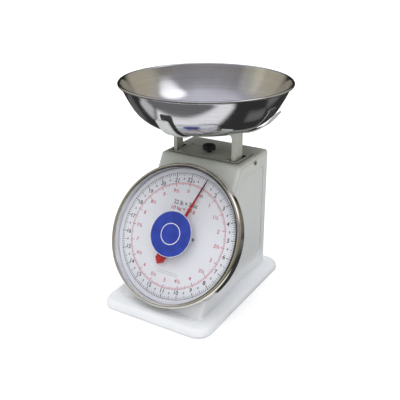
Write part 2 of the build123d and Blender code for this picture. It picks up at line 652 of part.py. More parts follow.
# ===================================================== zero knob and hanger
KNOB_LOBES = 10
knob = Cylinder(9.6, 8.0, align=UPWARD)
for k in range(KNOB_LOBES):
    a = 2 * math.pi * k / KNOB_LOBES
    lobe = Cylinder(2.3, 8.0, align=UPWARD)
    knob += Pos(8.8 * math.cos(a), 8.8 * math.sin(a), 0) * lobe
crown = Cylinder(11.1, 8.0, align=UPWARD)
knob = knob & fillet(crown.edges().group_by(Axis.Z)[-1], 2.0)
knob += Pos(0, 0, -4.4) * Cylinder(3.9, 4.6, align=UPWARD)
knob -= Pos(0, 0, -5) * Cylinder(2.5, 11.0, align=UPWARD)
save("zero_knob", one(Pos(0, KNOB_Y, 237.0) * knob))
save("adjuster_screw", one(rod(0, KNOB_Y, 203.0, 243.0, 2.5)))
clip = rod(0, KNOB_Y, 226.2, 227.4, 5.0) - rod(0, KNOB_Y, 220, 230, 2.5)
clip -= block(0, 6, KNOB_Y - 2.0, KNOB_Y + 2.0, 220, 230)
save("screw_clip", one(clip))

hanger = block(-34.0, 34.0, KNOB_Y - 7.0, KNOB_Y + 7.0, HANGER_Z, HANGER_Z + 5.0)
corner_edges = [e for e in hanger.edges() if abs(abs(e.tangent_at(0.5).Z) - 1) < 0.01]
hanger = fillet(corner_edges, 4.0)
hanger -= rod(0, KNOB_Y, 200, 230, 2.56)
for side in (-1, 1):
    hanger -= rod(side * SPRING_X, KNOB_Y, 200, 230, 2.1)
save("spring_hanger", one(hanger))


def plug(x, z, up):
    """Flanged spring plug with its bolt, standing on a bar face."""
    core = Cylinder(4.9, 12.0, align=UPWARD)
    core = chamfer(core.edges().group_by(Axis.Z)[-1], 1.0)
    tail = Pos(0, 0, -7.4) * Cylinder(2.0, 7.6, align=UPWARD)
    nut = Pos(0, 0, -7.9) * extrude(RegularPolygon(3.9, 6), amount=2.9)
    made = one(core + tail + nut)
    return Pos(x, KNOB_Y, z) * (made if up else Rot(180, 0, 0) * made)


save("lower_spring_plugs", *[plug(s * SPRING_X, BAR_TOP, True) for s in (-1, 1)])
save("upper_spring_plugs", *[plug(s * SPRING_X, HANGER_Z, False) for s in (-1, 1)])


def coil(x):
    """Spring coil that stops short of the crossbar, so the bar can rise to the stop and the hanger sink."""
    wire = 0.9
    mean = 6.15
    z0 = BAR_TOP + wire + SPRING_GAP
    high = HANGER_Z - wire - 0.15 - z0
    turns = 22
    path = Helix(pitch=high / turns, height=high, radius=mean)
    start = path @ 0
    ring = Plane(origin=start, z_dir=path % 0) * Circle(wire)
    return Pos(x, KNOB_Y, z0) * sweep(ring, path=path, is_frenet=True)


save("main_springs", *[one(coil(s * SPRING_X)) for s in (-1, 1)])
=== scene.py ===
import json
import math

import bmesh
import bpy
from mathutils import Matrix, Vector

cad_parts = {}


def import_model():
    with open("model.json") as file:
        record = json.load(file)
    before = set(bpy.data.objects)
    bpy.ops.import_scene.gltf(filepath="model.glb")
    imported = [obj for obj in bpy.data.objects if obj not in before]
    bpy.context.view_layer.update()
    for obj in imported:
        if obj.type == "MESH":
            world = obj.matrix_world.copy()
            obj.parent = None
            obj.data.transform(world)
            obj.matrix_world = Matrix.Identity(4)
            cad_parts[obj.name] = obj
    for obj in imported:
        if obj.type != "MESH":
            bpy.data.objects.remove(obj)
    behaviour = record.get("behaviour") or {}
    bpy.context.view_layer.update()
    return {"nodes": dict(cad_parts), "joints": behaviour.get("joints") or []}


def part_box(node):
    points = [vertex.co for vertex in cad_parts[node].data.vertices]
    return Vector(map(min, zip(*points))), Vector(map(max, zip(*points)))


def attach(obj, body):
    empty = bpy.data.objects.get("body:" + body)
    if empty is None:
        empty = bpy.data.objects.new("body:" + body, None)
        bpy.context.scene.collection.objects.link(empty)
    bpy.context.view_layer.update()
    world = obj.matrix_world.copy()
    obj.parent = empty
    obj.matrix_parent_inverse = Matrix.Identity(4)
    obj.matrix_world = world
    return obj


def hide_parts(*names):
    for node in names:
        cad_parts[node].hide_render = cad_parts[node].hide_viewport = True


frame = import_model()
MM = 0.001

# The dial's own frame comes from the pointer's joint: x to the right, y up the dial, z out of it.
POINTER = next(j for j in frame["joints"] if j["name"] == "pointer_turn")
DIAL_CENTRE = Vector(POINTER["pos_m"])
DIAL_OUT = -Vector(POINTER["axis"])
DIAL_RIGHT = Vector((1, 0, 0))
DIAL_UP = DIAL_OUT.cross(DIAL_RIGHT)
DIAL = Matrix.Translation(DIAL_CENTRE) @ Matrix((DIAL_RIGHT, DIAL_UP, DIAL_OUT)).transposed().to_4x4()

# Sizes on the dial, in millimetres.
POUNDS = 22
KILOS = 9.979
INK_THICK = 0.06
INK_SINK = -0.01
SCALE_R = 103.5
READ_DEG = 18.6
LENS_EDGE_R = 109.4
LENS_EDGE_Z = 13.1
LENS_TOP_Z = 21.0
BADGE_R = 37.4
BEZEL_R = 117.4
LIP_R = 109.8

# Painted housing, in metres: how far its front leans, and rounded rectangles in plan on its top, each
# with its middle, half sizes and corner radius. Places are mirrored left and right.
HOUSING_TOP = 0.230
HOUSING_LEAN = math.radians(30)
PAD = ((0.0, 0.034), (0.0665, 0.031), 0.008)
PAD_PANEL = ((0.0, 0.0288), (0.0475, 0.0192), 0.005)
LEG_SLOT = ((0.0581, 0.0256), (0.0035, 0.0174), 0.001)
LEG_SLOT_END = ((0.0559, 0.0112), (0.0057, 0.0030), 0.001)
WALL_PANEL_TOP = 0.205
WALL_PANEL_BACK = 0.084
WALL_PANEL_FRONT = 0.0250
WALL_FOLD = 0.0185

# The camera stands in front and to the right, looking slightly down.
CAMERA_AT = (0.4956, -0.8293, 0.5719)
CAMERA_DOWN = 23.34
CAMERA_TURN = 30.9
CAMERA_LENS = 56.03


# ------------------------------------------------------------------ meshes
def finish_mesh(name, bm, material, body, sharp=35, place=None, stands_for=()):
    """Turn a bmesh built in millimetres into a piece that rides on a body."""
    bmesh.ops.recalc_face_normals(bm, faces=bm.faces)
    mesh = bpy.data.meshes.new(name)
    bm.to_mesh(mesh)
    bm.free()
    mesh.transform(Matrix.Scale(MM, 4))
    if place is not None:
        mesh.transform(place)
    mesh.polygons.foreach_set("use_smooth", [True] * len(mesh.polygons))
    mesh.set_sharp_from_angle(angle=math.radians(sharp))
    mesh.materials.append(material)
    piece = bpy.data.objects.new(name, mesh)
    bpy.context.scene.collection.objects.link(piece)
    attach(piece, body)
    if stands_for:
        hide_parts(*stands_for)
    return piece


def lathe(profile, steps, bm=None):
    """Revolve a closed (r, z) outline about Z; points on the axis become poles."""
    if bm is None:
        bm = bmesh.new()
    rings = []
    for r, z in profile:
        if r < 1e-6:
            rings.append([bm.verts.new((0, 0, z))])
        else:
            turn = [2 * math.pi * k / steps for k in range(steps)]
            rings.append([bm.verts.new((r * math.cos(a), r * math.sin(a), z)) for a in turn])
    for a, b in zip(rings, rings[1:] + rings[:1]):
        for k in range(steps):
            n = (k + 1) % steps
            corners = [a[k % len(a)], a[n % len(a)], b[n % len(b)], b[k % len(b)]]
            corners = list(dict.fromkeys(corners))
            if len(corners) > 2:
                bm.faces.new(corners)
    return bm


def arc(centre, radius, start, end, steps):
    """Points on an arc in the (r, z) plane, angles in degrees from +r."""
    turn = [math.radians(start + (end - start) * k / steps) for k in range(steps + 1)]
    return [(centre[0] + radius * math.cos(a), centre[1] + radius * math.sin(a)) for a in turn]


def slab(bm, outline, z0, z1):
    """Closed flat plate from an (x, y) outline between two heights."""
    low = [bm.verts.new((x, y, z0)) for x, y in outline]
    high = [bm.verts.new((x, y, z1)) for x, y in outline]
    bm.faces.new(low[::-1])
    bm.faces.new(high)
    for k in range(len(outline)):
        n = (k + 1) % len(outline)
        bm.faces.new((low[k], low[n], high[n], high[k]))


def clock_point(r, degrees):
    """Point at a radius and a clockwise angle from the top of the dial."""
    a = math.radians(degrees)
    return (r * math.sin(a), r * math.cos(a))


def tick(bm, degrees, r0, r1, width):
    """Radial ink stroke."""
    out = Vector(clock_point(1, degrees))
    side = Vector((out.y, -out.x)) * width / 2
    corners = [out * r0 - side, out * r0 + side, out * r1 + side, out * r1 - side]
    slab(bm, [tuple(c) for c in corners], INK_SINK, INK_THICK)


def ink_ring(bm, radius, width, steps=240):
    """Printed circle line."""
    r0 = radius - width / 2
    r1 = radius + width / 2
    lathe([(r0, INK_SINK), (r1, INK_SINK), (r1, INK_THICK), (r0, INK_THICK)], steps, bm)


def lettering(bm, words, x, y, high, bold=0.0, wide=None):
    """Set characters as a thin raised plate, centred on a point; high is their overall height."""
    curve = bpy.data.curves.new("words", "FONT")
    curve.body = words
    curve.align_x = "CENTER"
    curve.align_y = "CENTER"
    curve.offset = bold
    curve.extrude = 0.01
    holder = bpy.data.objects.new("words", curve)
    bpy.context.scene.collection.objects.link(holder)
    bpy.context.view_layer.update()
    mesh = bpy.data.meshes.new_from_object(holder.evaluated_get(bpy.context.evaluated_depsgraph_get()))
    xs = [v.co.x for v in mesh.vertices]
    ys = [v.co.y for v in mesh.vertices]
    grow_y = high / (max(ys) - min(ys))
    grow_x = wide / (max(xs) - min(xs)) if wide else grow_y
    middle = Vector(((max(xs) + min(xs)) / 2, (max(ys) + min(ys)) / 2, 0))
    for v in mesh.vertices:
        v.co = v.co - middle
        v.co = (v.co.x * grow_x + x, v.co.y * grow_y + y, INK_THICK if v.co.z > 0 else INK_SINK)
    bm.from_mesh(mesh)
    bpy.data.objects.remove(holder)
    bpy.data.curves.remove(curve)
    bpy.data.meshes.remove(mesh)


# --------------------------------------------------------------- materials
def fill_ramp(ramp, stops):
    """Set a colour ramp's stops, each a position from 0 to 1 and a colour."""
    while len(ramp.elements) < len(stops):
        ramp.elements.new(0.5)
    for element, (position, colour) in zip(ramp.elements, stops):
        element.position = position
        element.color = (*colour, 1)


class Look:
    """A procedural material around one Principled shader."""

    def __init__(self, name, colour, roughness, metallic=0.0, **constants):
        self.material = bpy.data.materials.new(name)
        self.material.use_nodes = True
        self.nodes = self.material.node_tree.nodes
        self.links = self.material.node_tree.links
        self.shader = self.nodes["Principled BSDF"]
        self.colour = tuple(colour)
        self.set("Base Color", (*colour, 1))
        self.set("Roughness", roughness)
        self.set("Metallic", metallic)
        for socket, value in constants.items():
            self.set(socket.replace("_", " "), value)
        coords = self.nodes.new("ShaderNodeTexCoord")
        self.place = coords.outputs["Object"]

    def set(self, socket, value):
        self.shader.inputs[socket].default_value = value

    def stretch(self, x, y, z):
        """Coordinates scaled along each axis, so that a pattern becomes streaks."""
        node = self.nodes.new("ShaderNodeMapping")
        node.inputs["Scale"].default_value = (x, y, z)
        self.links.new(self.place, node.inputs["Vector"])
        return node.outputs["Vector"]

    def noise(self, scale, detail=3.0, coords=None, rough=0.5):
        node = self.nodes.new("ShaderNodeTexNoise")
        node.inputs["Scale"].default_value = scale
        node.inputs["Detail"].default_value = detail
        node.inputs["Roughness"].default_value = rough
        self.links.new(coords or self.place, node.inputs["Vector"])
        return node.outputs["Fac"]

    def math(self, operation, a, b=0.0):
        node = self.nodes.new("ShaderNodeMath")
        node.operation = operation
        for socket, value in zip(node.inputs, (a, b)):
            if isinstance(value, (int, float)):
                socket.default_value = value
            else:
                self.links.new(value, socket)
        return node.outputs[0]

    def ramp(self, factor, stops):
        """Colour stops at positions from 0 to 1."""
        node = self.nodes.new("ShaderNodeValToRGB")
        fill_ramp(node.color_ramp, stops)
        self.links.new(factor, node.inputs["Fac"])
        return node.outputs["Color"]

    def shades(self, factor, low, high, start=0.35, end=0.65):
        """The base colour times low to high, over the factor."""
        dark = [c * low for c in self.colour]
        light = [min(1.0, c * high) for c in self.colour]
        return self.ramp(factor, [(start, dark), (end, light)])

    def mix(self, factor, a, b):
        node = self.nodes.new("ShaderNodeMix")
        node.data_type = "RGBA"
        self.links.new(factor, node.inputs["Factor"])
        for index, value in ((6, a), (7, b)):
            if isinstance(value, tuple):
                node.inputs[index].default_value = (*value, 1)
            else:
                self.links.new(value, node.inputs[index])
        return node.outputs[2]

    def vector(self, operation, a, b=None):
        """Vector maths on two vectors; the result is a vector or a number."""
        node = self.nodes.new("ShaderNodeVectorMath")
        node.operation = operation
        self.links.new(a, node.inputs[0])
        if b is not None:
            node.inputs[1].default_value = b
        return node.outputs["Value" if operation in ("DOT_PRODUCT", "LENGTH") else "Vector"]

    def from_dial_axis(self):
        """Distance from the dial's axis, in metres."""
        offset = self.vector("SUBTRACT", self.place, DIAL_CENTRE)
        axial = self.vector("DOT_PRODUCT", offset, DIAL_OUT)
        length = self.vector("LENGTH", offset)
        squares = [self.math("MULTIPLY", value, value) for value in (length, axial)]
        return self.math("SQRT", self.math("SUBTRACT", *squares))

    def span(self, factor, low, high):
        """The factor rescaled so that low to high becomes 0 to 1."""
        return self.math("MULTIPLY", self.math("SUBTRACT", factor, low), 1 / (high - low))

    def part(self, axis):
        """One coordinate of the place, in metres."""
        parts = self.nodes.new("ShaderNodeSeparateXYZ")
        self.links.new(self.place, parts.inputs[0])
        return parts.outputs[axis]

    def line(self, distance, at, half, soft=0.0004):
        """One where a distance is within half of a value, fading to zero over soft; metres."""
        gap = self.math("ABSOLUTE", self.math("SUBTRACT", distance, at))
        node = self.nodes.new("ShaderNodeMapRange")
        node.interpolation_type = "SMOOTHSTEP"
        node.inputs["From Min"].default_value = half
        node.inputs["From Max"].default_value = half + soft
        node.inputs["To Min"].default_value = 1.0
        node.inputs["To Max"].default_value = 0.0
        self.links.new(gap, node.inputs["Value"])
        return node.outputs["Result"]

    def rectangle(self, centre, half, corner):
        """Signed distance in plan to the edge of an upright rounded rectangle; mirrored left and right."""
        past = []
        places = (self.math("ABSOLUTE", self.part("X")), self.part("Y"))
        for place, middle, reach in zip(places, centre, half):
            away = self.math("ABSOLUTE", self.math("SUBTRACT", place, middle))
            past.append(self.math("SUBTRACT", away, reach - corner))
        far = [self.math("MAXIMUM", value, 0.0) for value in past]
        squares = [self.math("MULTIPLY", value, value) for value in far]
        outside = self.math("SQRT", self.math("ADD", *squares))
        inside = self.math("MINIMUM", self.math("MAXIMUM", *past), 0.0)
        return self.math("SUBTRACT", self.math("ADD", outside, inside), corner)

    def tint(self, colour, tone):
        """One colour multiplied by another."""
        node = self.nodes.new("ShaderNodeMix")
        node.data_type = "RGBA"
        node.blend_type = "MULTIPLY"
        node.inputs["Factor"].default_value = 1.0
        self.links.new(colour, node.inputs[6])
        self.links.new(tone, node.inputs[7])
        return node.outputs[2]

    def paint(self, colour):
        self.links.new(colour, self.shader.inputs["Base Color"])

    def vary_roughness(self, factor, low, high, start=0.3, end=0.7):
        node = self.nodes.new("ShaderNodeMapRange")
        node.inputs["From Min"].default_value = start
        node.inputs["From Max"].default_value = end
        node.inputs["To Min"].default_value = low
        node.inputs["To Max"].default_value = high
        self.links.new(factor, node.inputs["Value"])
        self.links.new(node.outputs["Result"], self.shader.inputs["Roughness"])

    def bump(self, *layers):
        """Stack of (height, strength, distance in metres)."""
        normal = None
        for height, strength, distance in layers:
            node = self.nodes.new("ShaderNodeBump")
            node.inputs["Strength"].default_value = strength
            node.inputs["Distance"].default_value = distance
            self.links.new(height, node.inputs["Height"])
            if normal is not None:
                self.links.new(normal, node.inputs["Normal"])
            normal = node.outputs["Normal"]
        self.links.new(normal, self.shader.inputs["Normal"])


# Enamel tone over the height, as a share of TONE_HEIGHT in metres: pale base, dark top and legs. This is
# shade painted in, so it stays the same in any light.
TONE_HEIGHT = 0.36
ENAMEL_TONE = (
    (0.000, (0.83, 0.85, 0.875)),
    (0.085, (0.82, 0.84, 0.865)),
    (0.130, (0.670, 0.688, 0.685)),
    (0.500, (0.685, 0.703, 0.680)),
    (0.620, (0.680, 0.702, 0.655)),
    (0.632, (0.60, 0.620, 0.560)),
    (0.642, (0.535, 0.555, 0.475)),
    (0.660, (0.535, 0.555, 0.475)),
    (0.720, (0.540, 0.555, 0.485)),
    (0.780, (0.550, 0.565, 0.540)),
    (0.850, (0.580, 0.595, 0.580)),
)


def top_lines(look):
    """Painted shade on the top: dark lines round the pad, round its inner panel and round the leg slots.
    """
    rim = look.line(look.rectangle(*PAD), 0.0, 0.0007)
    inner = look.line(look.rectangle(*PAD_PANEL), 0.0, 0.0005)
    slots = look.math("MINIMUM", look.rectangle(*LEG_SLOT), look.rectangle(*LEG_SLOT_END))
    slot_shade = look.line(slots, 0.0, 0.0012)
    fold_shade = look.math("MAXIMUM", look.math("MULTIPLY", rim, 0.75), look.math("MULTIPLY", inner, 0.6))
    above = look.math("GREATER_THAN", look.part("Z"), HOUSING_TOP - 0.0014)
    below = look.math("LESS_THAN", look.part("Z"), HOUSING_TOP + 0.0030)
    where = look.math("MULTIPLY", above, below)
    return look.math("MULTIPLY", look.math("MAXIMUM", fold_shade, slot_shade), where)


def wall_lines(look):
    """Painted shade on the side walls: dark lines along the pressed panel's edge and the fold round the
    wall.
    """
    slope = math.tan(HOUSING_LEAN)
    edge = look.math("MULTIPLY", look.part("Z"), slope)
    edge = look.math("ADD", edge, WALL_PANEL_FRONT - HOUSING_TOP * slope)
    front = look.math("MULTIPLY", look.math("SUBTRACT", edge, look.part("Y")), math.cos(HOUSING_LEAN))
    wall = look.math("MAXIMUM", look.math("SUBTRACT", look.part("Z"), WALL_PANEL_TOP), front)
    wall = look.math("MAXIMUM", wall, look.math("SUBTRACT", look.part("Y"), WALL_PANEL_BACK))
    fold = look.math("MULTIPLY", look.line(wall, WALL_FOLD, 0.0004, 0.0006), 0.35)
    panel = look.math("MULTIPLY", look.line(wall, 0.0, 0.0005, 0.0006), 0.20)
    on_side = look.math("GREATER_THAN", look.math("ABSOLUTE", look.part("X")), 0.0735)
    above_base = look.math("GREATER_THAN", look.part("Z"), 0.050)
    where = look.math("MULTIPLY", on_side, above_base)
    return look.math("MULTIPLY", look.math("MAXIMUM", fold, panel), where)


def enamel():
    """Stoved off-white enamel: orange peel, mottling, shade painted in by height and dark lines of painted
    shade.
    """
    look = Look("stoved_enamel", (0.97, 0.97, 0.97), 0.34, Coat_Weight=0.15, Coat_Roughness=0.18)
    cloud = look.shades(look.noise(7.0, 4.0), 0.965, 1.02)
    drift = look.math("MULTIPLY", look.math("SUBTRACT", look.noise(55.0, 5.0), 0.5), 0.006)
    tone = look.ramp(look.span(look.math("ADD", look.part("Z"), drift), 0.0, TONE_HEIGHT), ENAMEL_TONE)
    # Painted shade: near-black lines in the top's folds, round the leg slots and along the wall panel's
    # edge and fold.
    painted_line_shade = look.math("MAXIMUM", top_lines(look), wall_lines(look))
    look.paint(look.mix(painted_line_shade, look.tint(cloud, tone), (0.035, 0.037, 0.032)))
    look.vary_roughness(look.noise(38.0, 5.0), 0.28, 0.42)
    look.bump((look.noise(620.0, 2.0), 0.10, 0.0003), (look.noise(60.0, 1.0), 0.06, 0.0008))
    return look.material


# Drum tone from its lowest to its highest edge: shade painted in, so it stays the same in any light.
DRUM_TONE = (
    (0.00, (0.88, 0.89, 0.94)),
    (0.62, (0.97, 0.98, 1.00)),
    (0.80, (0.60, 0.61, 0.65)),
    (1.00, (0.36, 0.37, 0.40)),
)


def drum_paint():
    """Cooler, smoother white on the pressed dial drum, with shade painted in towards its top."""
    look = Look("drum_paint", (0.97, 0.97, 0.99), 0.38)
    rise = look.vector("DOT_PRODUCT", look.vector("SUBTRACT", look.place, DIAL_CENTRE), DIAL_UP)
    tone = look.ramp(look.span(rise, -0.12, 0.12), DRUM_TONE)
    look.paint(look.tint(look.shades(look.noise(14.0, 3.0), 0.96, 1.02), tone))
    look.vary_roughness(look.noise(55.0, 4.0), 0.32, 0.46)
    look.bump((look.noise(520.0, 2.0), 0.08, 0.0002))
    return look.material


def dial_white():
    """Printed aluminium sheet: cool white lacquer with a fine grain."""
    look = Look("dial_white", (0.86, 0.855, 0.905), 0.42)
    look.paint(look.shades(look.noise(9.0, 3.0), 0.97, 1.01))
    look.vary_roughness(look.noise(300.0, 3.0), 0.36, 0.5)
    look.bump((look.noise(1500.0, 2.0), 0.05, 0.0001))
    return look.material


def ink(name, colour):
    """Screen-printed ink with slightly uneven cover."""
    look = Look(name, colour, 0.55)
    look.paint(look.shades(look.noise(900.0, 3.0), 0.85, 1.25))
    look.bump((look.noise(1800.0, 2.0), 0.1, 0.00005))
    return look.material


# Colour of the bezel's inner groove, from the upper right to the lower left of the ring: a painted dark
# reflection at the upper right and a painted highlight at the lower left, in the same place in any view.
BEZEL_GROOVE_REFLECTION = (
    (0.00, (0.13, 0.13, 0.14)),
    (0.40, (0.16, 0.16, 0.17)),
    (0.70, (0.70, 0.70, 0.71)),
    (1.00, (0.92, 0.92, 0.93)),
)


def chrome():
    """Plated bezel: polished nose, painted reflection in the inner groove, faint polishing lines, a few
    smudges.
    """
    look = Look("bezel_chrome_plate", (0.97, 0.97, 0.97), 0.07, 1.0)
    smudge = look.noise(22.0, 6.0, rough=0.65)
    groove = look.line(look.from_dial_axis(), 0.1112, 0.0010, 0.0004)
    side = look.vector("DOT_PRODUCT", look.vector("SUBTRACT", look.place, DIAL_CENTRE),
                       -(DIAL_UP + DIAL_RIGHT * 0.6).normalized())
    # Painted reflection and highlight in the groove, set by the side of the ring.
    tone = look.ramp(look.span(side, -0.115, 0.115), BEZEL_GROOVE_REFLECTION)
    look.paint(look.tint(look.shades(smudge, 0.94, 1.02), look.mix(groove, (0.74, 0.71, 0.66), tone)))
    look.vary_roughness(smudge, 0.04, 0.13)
    look.bump((look.noise(260.0, 2.0), 0.03, 0.0001))
    return look.material


def spun_steel():
    """Polished stainless bowl: fine spun rings over soft waves and handling marks."""
    look = Look("spun_steel", (0.60, 0.60, 0.625), 0.16, 1.0)
    rings = look.noise(1.0, 4.0, look.stretch(5.0, 5.0, 620.0))
    marks = look.noise(30.0, 7.0, rough=0.7)
    tone = look.math("ADD", look.math("MULTIPLY", rings, 0.5), look.math("MULTIPLY", marks, 0.5))
    gloss = look.math("ADD", look.math("MULTIPLY", rings, 0.55), look.math("MULTIPLY", marks, 0.45))
    look.paint(look.shades(tone, 0.90, 1.05))
    look.vary_roughness(gloss, 0.07, 0.15)
    look.bump((rings, 0.10, 0.00025), (look.noise(18.0, 1.0), 0.06, 0.0012))
    return look.material


def zinc():
    """Bright zinc plate: crystalline patches with a dull bloom."""
    look = Look("zinc_plate", (0.58, 0.58, 0.56), 0.32, 1.0)
    cell = look.nodes.new("ShaderNodeTexVoronoi")
    cell.inputs["Scale"].default_value = 420.0
    look.links.new(look.place, cell.inputs["Vector"])
    look.paint(look.shades(cell.outputs["Distance"], 0.85, 1.08, 0.1, 0.7))
    look.vary_roughness(look.noise(90.0, 5.0), 0.24, 0.48)
    look.bump((look.noise(700.0, 3.0), 0.12, 0.0001))
    return look.material


def brass():
    """Machined brass with fine turning marks."""
    look = Look("machined_brass", (0.72, 0.52, 0.24), 0.28, 1.0)
    marks = look.noise(1.0, 2.0, look.stretch(1500.0, 200.0, 200.0))
    look.paint(look.shades(look.noise(160.0, 4.0), 0.85, 1.05))
    look.vary_roughness(marks, 0.2, 0.4)
    look.bump((marks, 0.1, 0.00005))
    return look.material


def lens_clear():
    """Clear acrylic dome: mostly see-through, with a light gloss that grows at grazing angles."""
    look = Look("clear_acrylic", (0.96, 0.97, 0.98), 0.03)
    fresnel = look.nodes.new("ShaderNodeFresnel")
    fresnel.inputs["IOR"].default_value = 1.2
    through = look.nodes.new("ShaderNodeBsdfTransparent")
    through.inputs["Color"].default_value = (0.985, 0.99, 0.99, 1)
    mixer = look.nodes.new("ShaderNodeMixShader")
    look.set("Specular IOR Level", 1.0)
    look.vary_roughness(look.noise(45.0, 4.0), 0.015, 0.06)
    look.bump((look.noise(12.0, 1.0), 0.02, 0.0005))
    look.links.new(fresnel.outputs["Fac"], mixer.inputs["Fac"])
    look.links.new(through.outputs["BSDF"], mixer.inputs[1])
    look.links.new(look.shader.outputs["BSDF"], mixer.inputs[2])
    look.links.new(mixer.outputs["Shader"], look.nodes["Material Output"].inputs["Surface"])
    return look.material


def badge_blue():
    """Blue vinyl film on the lens."""
    look = Look("badge_blue_film", (0.022, 0.05, 0.36), 0.4)
    look.paint(look.shades(look.noise(70.0, 4.0), 0.88, 1.12))
    look.vary_roughness(look.noise(120.0, 3.0), 0.34, 0.48)
    look.bump((look.noise(900.0, 2.0), 0.06, 0.0001))
    return look.material


def badge_white():
    """White print on the badge."""
    look = Look("badge_white_print", (0.78, 0.79, 0.82), 0.45)
    look.paint(look.shades(look.noise(400.0, 3.0), 0.93, 1.02))
    look.bump((look.noise(1500.0, 2.0), 0.08, 0.00005))
    return look.material


def pointer_paint():
    """Red gloss paint on the needle; its colour goes to near black over the outer half of the needle."""
    look = Look("pointer_paint", (0.52, 0.010, 0.014), 0.3)
    direction = DIAL.to_3x3() @ Vector((*clock_point(1, READ_DEG), 0))
    split = look.nodes.new("ShaderNodeVectorMath")
    split.operation = "DOT_PRODUCT"
    split.inputs[1].default_value = direction
    look.links.new(look.place, split.inputs[0])
    start = DIAL_CENTRE.dot(direction)
    along = look.math("SUBTRACT", split.outputs["Value"], start + 0.058)
    blend = look.math("MULTIPLY", along, 1 / 0.022)
    red = look.shades(look.noise(240.0, 3.0), 0.85, 1.15)
    look.paint(look.mix(blend, red, (0.13, 0.010, 0.020)))
    look.vary_roughness(look.noise(200.0, 3.0), 0.22, 0.4)
    look.bump((look.noise(1100.0, 2.0), 0.08, 0.00005))
    return look.material


def knob_plastic():
    """Moulded black phenolic with a fine spark texture."""
    look = Look("knob_phenolic", (0.012, 0.013, 0.016), 0.35)
    look.paint(look.shades(look.noise(180.0, 4.0), 0.7, 1.6))
    look.vary_roughness(look.noise(260.0, 3.0), 0.28, 0.5)
    look.bump((look.noise(1400.0, 2.0), 0.18, 0.0001))
    return look.material


def foot_rubber():
    """Black rubber, dusty and matt."""
    look = Look("foot_rubber_black", (0.022, 0.022, 0.022), 0.8)
    look.paint(look.shades(look.noise(90.0, 5.0), 0.7, 1.9))
    look.bump((look.noise(900.0, 3.0), 0.3, 0.0002))
    return look.material


ENAMEL = enamel()
LOOKS = {
    "painted_steel": ENAMEL,
    "drum_enamel": drum_paint(),
    "dial_face": dial_white(),
    "bezel_chrome": chrome(),
    "polished_steel": spun_steel(),
    "zinc_steel": zinc(),
    "brass_parts": brass(),
    "clear_lens": lens_clear(),
    "badge_blue": badge_blue(),
    "pointer_red": pointer_paint(),
    "knob_black": knob_plastic(),
    "foot_rubber": foot_rubber(),
}
for node in frame["nodes"].values():
    node.data.materials[0] = LOOKS[node.data.materials[0].name.split(".")[0]]
INK_BLACK = ink("ink_black", (0.045, 0.05, 0.07))
INK_RED = ink("ink_red", (0.55, 0.06, 0.10))
INK_GREY = ink("ink_grey", (0.30, 0.32, 0.36))


# -------------------------------------------------------------------- bowl
def bowl():
    """Spun bowl: flat bottom, round belly, slanted wall and a rolled lip."""
    low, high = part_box("mixing_bowl")
    centre = (low + high) / 2
    top = (high.z - low.z) / MM
    flat_r = 58.0
    belly_r = 70.5
    wall = 0.9
    knee_r = 118.0
    turn = math.degrees(math.asin((knee_r - flat_r) / belly_r))
    roll = 2.3
    lip_r = (high.x - low.x) / 2 / MM - roll
    outside = arc((flat_r, belly_r), belly_r, -90, -90 + turn, 28)
    knee = outside[-1]
    side = []
    steps = 12
    end = (lip_r - 2.6, top - 5.2)
    for k in range(1, steps + 1):
        t = k / steps
        bow = 4 * t * (1 - t) * 0.9
        side.append((knee[0] + (end[0] - knee[0]) * t + bow, knee[1] + (end[1] - knee[1]) * t))
    curl = arc((lip_r, top - roll), roll, 150, -165, 22)
    curl_in = arc((lip_r, top - roll), roll - wall, -165, 150, 14)
    back = [(r - wall * 0.9, z + wall * 0.45) for r, z in side[::-1]]
    inside = arc((flat_r, belly_r), belly_r - wall, -90 + turn, -90, 28)
    throat = [(end[0] + 0.6, end[1] + 1.2)]
    over = [(end[0] - wall * 0.9 + 0.6, end[1] + wall * 0.45 + 1.2)]
    profile = [(0, 0)] + outside + side + throat + curl_in[::-1]
    profile += curl[::-1] + over + back + inside + [(0, wall)]
    place = Matrix.Translation((centre.x, centre.y, low.z))
    return finish_mesh("bowl_spun", lathe(profile, 288), LOOKS["polished_steel"], "bowl", 40, place,
                       ["mixing_bowl"])


# ------------------------------------------------------------ dial markings
def pound_scale():
    """Black outer scale: a circle, ounce ticks, pound numbers and half-pound eights."""
    bm = bmesh.new()
    ink_ring(bm, SCALE_R, 0.55)
    per_pound = 8
    step = 360 / POUNDS / per_pound
    for k in range(POUNDS * per_pound):
        if k % per_pound == 0:
            tick(bm, k * step, 96.6, 104.4, 1.15)
        elif k % 4 == 0:
            tick(bm, k * step, 98.0, SCALE_R, 0.9)
        else:
            tick(bm, k * step, 99.6, SCALE_R, 0.72)
    for pound in range(1, POUNDS):
        lettering(bm, str(pound), *clock_point(91.8, pound * 360 / POUNDS), 7.0, bold=0.02)
    lettering(bm, "22", -2.2, 92.4, 7.0, bold=0.02)
    lettering(bm, "0", 5.2, 91.0, 4.0, bold=0.018)
    for pound in range(POUNDS):
        lettering(bm, "8", *clock_point(93.4, (pound + 0.5) * 360 / POUNDS), 3.6, bold=0.018)
    lettering(bm, "22 lb × 2 oz", 1.0, 53.2, 7.0, bold=0.015, wide=44.5)
    return finish_mesh("scale_pounds", bm, INK_BLACK, "housing", 30, DIAL)


